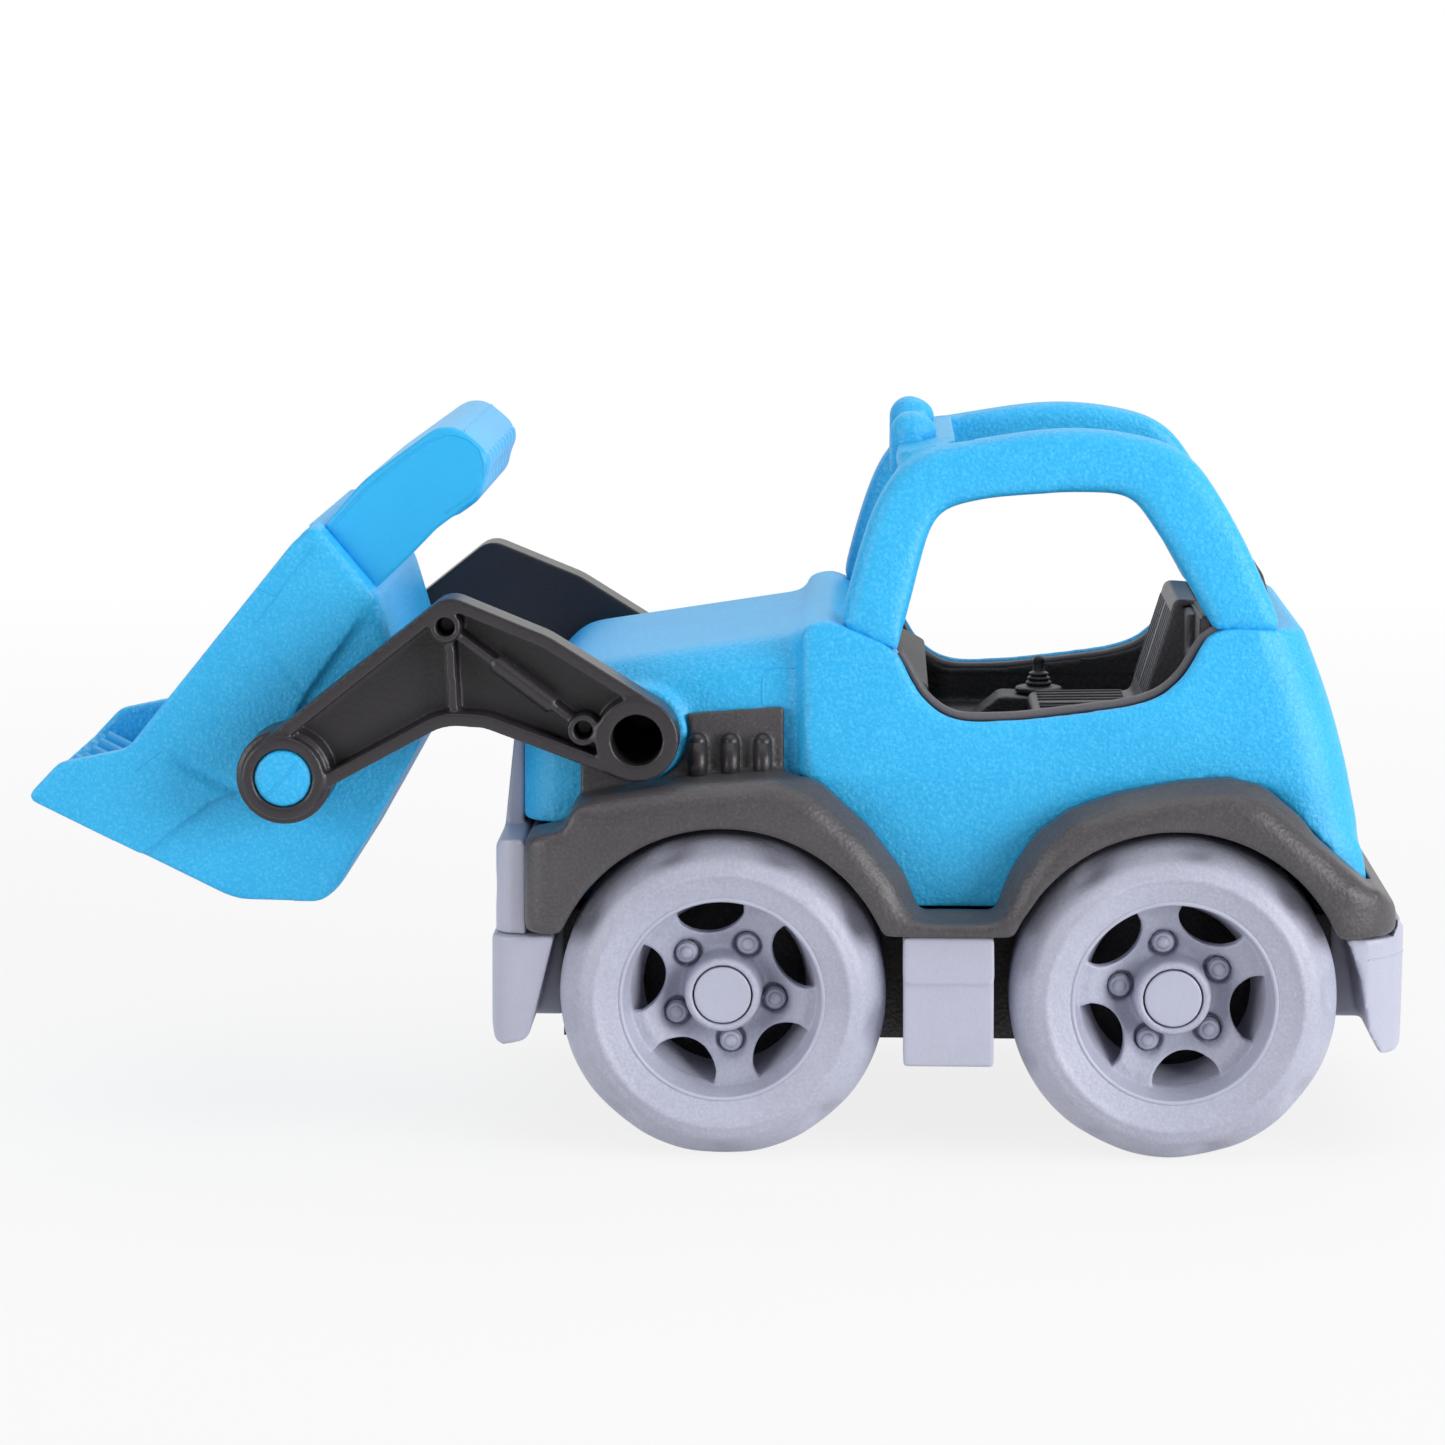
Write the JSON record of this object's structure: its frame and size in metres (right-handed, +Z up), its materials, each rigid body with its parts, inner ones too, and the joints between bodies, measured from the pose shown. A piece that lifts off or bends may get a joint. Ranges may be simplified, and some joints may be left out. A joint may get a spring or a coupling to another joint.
{
  "type": "toy wheel loader",
  "caption": "Chunky plastic toy wheel loader with an open roll-frame cab, spoked wheels, hinged lift arms and a tilting bucket with a wide push handle.",
  "frame": {"origin": "on the ground, under the middle of the overall length and width", "axes": "+X towards the tail, front and bucket towards -X, +Z up, the driver's left towards -Y"},
  "size_m": [0.2781, 0.126, 0.1472],
  "materials": {
    "blue_plastic": "fine grained satin",
    "charcoal_plastic": "satin",
    "cab_plastic": "matte",
    "grey_plastic": "fine grained matte",
    "screw_steel": "satin"
  },
  "bodies": {
    "vehicle": {"chassis": "cab_plastic", "fender_skirt": "charcoal_plastic", "body_shell": "blue_plastic", "roof_frame": "blue_plastic", "interior_tub": "cab_plastic", "seat": "cab_plastic", "control_lever": "cab_plastic", "front_grille": "grey_plastic", "front_bumper": "grey_plastic", "rear_bumper": "grey_plastic", "side_step_left": "grey_plastic", "side_step_right": "grey_plastic", "axle_pin_front_left": "grey_plastic", "axle_pin_front_right": "grey_plastic", "axle_pin_rear_left": "grey_plastic", "axle_pin_rear_right": "grey_plastic", "chassis_screws": "screw_steel"},
    "loader_arms": {"arm_left": "charcoal_plastic", "arm_right": "charcoal_plastic"},
    "bucket": {"bucket": "blue_plastic", "bucket_handle": "blue_plastic"},
    "wheel_front_left": {"wheel_front_left": "grey_plastic"},
    "wheel_front_right": {"wheel_front_right": "grey_plastic"},
    "wheel_rear_left": {"wheel_rear_left": "grey_plastic"},
    "wheel_rear_right": {"wheel_rear_right": "grey_plastic"}
  },
  "joints": [
    {"name": "arm_lift", "type": "hinge", "parent": "vehicle", "child": "loader_arms", "pos_m": [-0.01477, 0, 0.0843], "axis": [0, 1, 0], "range_deg": [-18, 50]},
    {"name": "bucket_tilt", "type": "hinge", "parent": "loader_arms", "child": "bucket", "pos_m": [-0.08538, 0, 0.0762], "axis": [0, 1, 0], "range_deg": [-70, 20]},
    {"name": "wheel_front_left_spin", "type": "hinge", "parent": "vehicle", "child": "wheel_front_left", "pos_m": [0.00232, -0.049, 0.0327], "axis": [0, 1, 0], "continuous": true},
    {"name": "wheel_front_right_spin", "type": "hinge", "parent": "vehicle", "child": "wheel_front_right", "pos_m": [0.00232, 0.049, 0.0327], "axis": [0, 1, 0], "continuous": true},
    {"name": "wheel_rear_left_spin", "type": "hinge", "parent": "vehicle", "child": "wheel_rear_left", "pos_m": [0.09233, -0.049, 0.0327], "axis": [0, 1, 0], "continuous": true},
    {"name": "wheel_rear_right_spin", "type": "hinge", "parent": "vehicle", "child": "wheel_rear_right", "pos_m": [0.09233, 0.049, 0.0327], "axis": [0, 1, 0], "continuous": true}
  ]
}
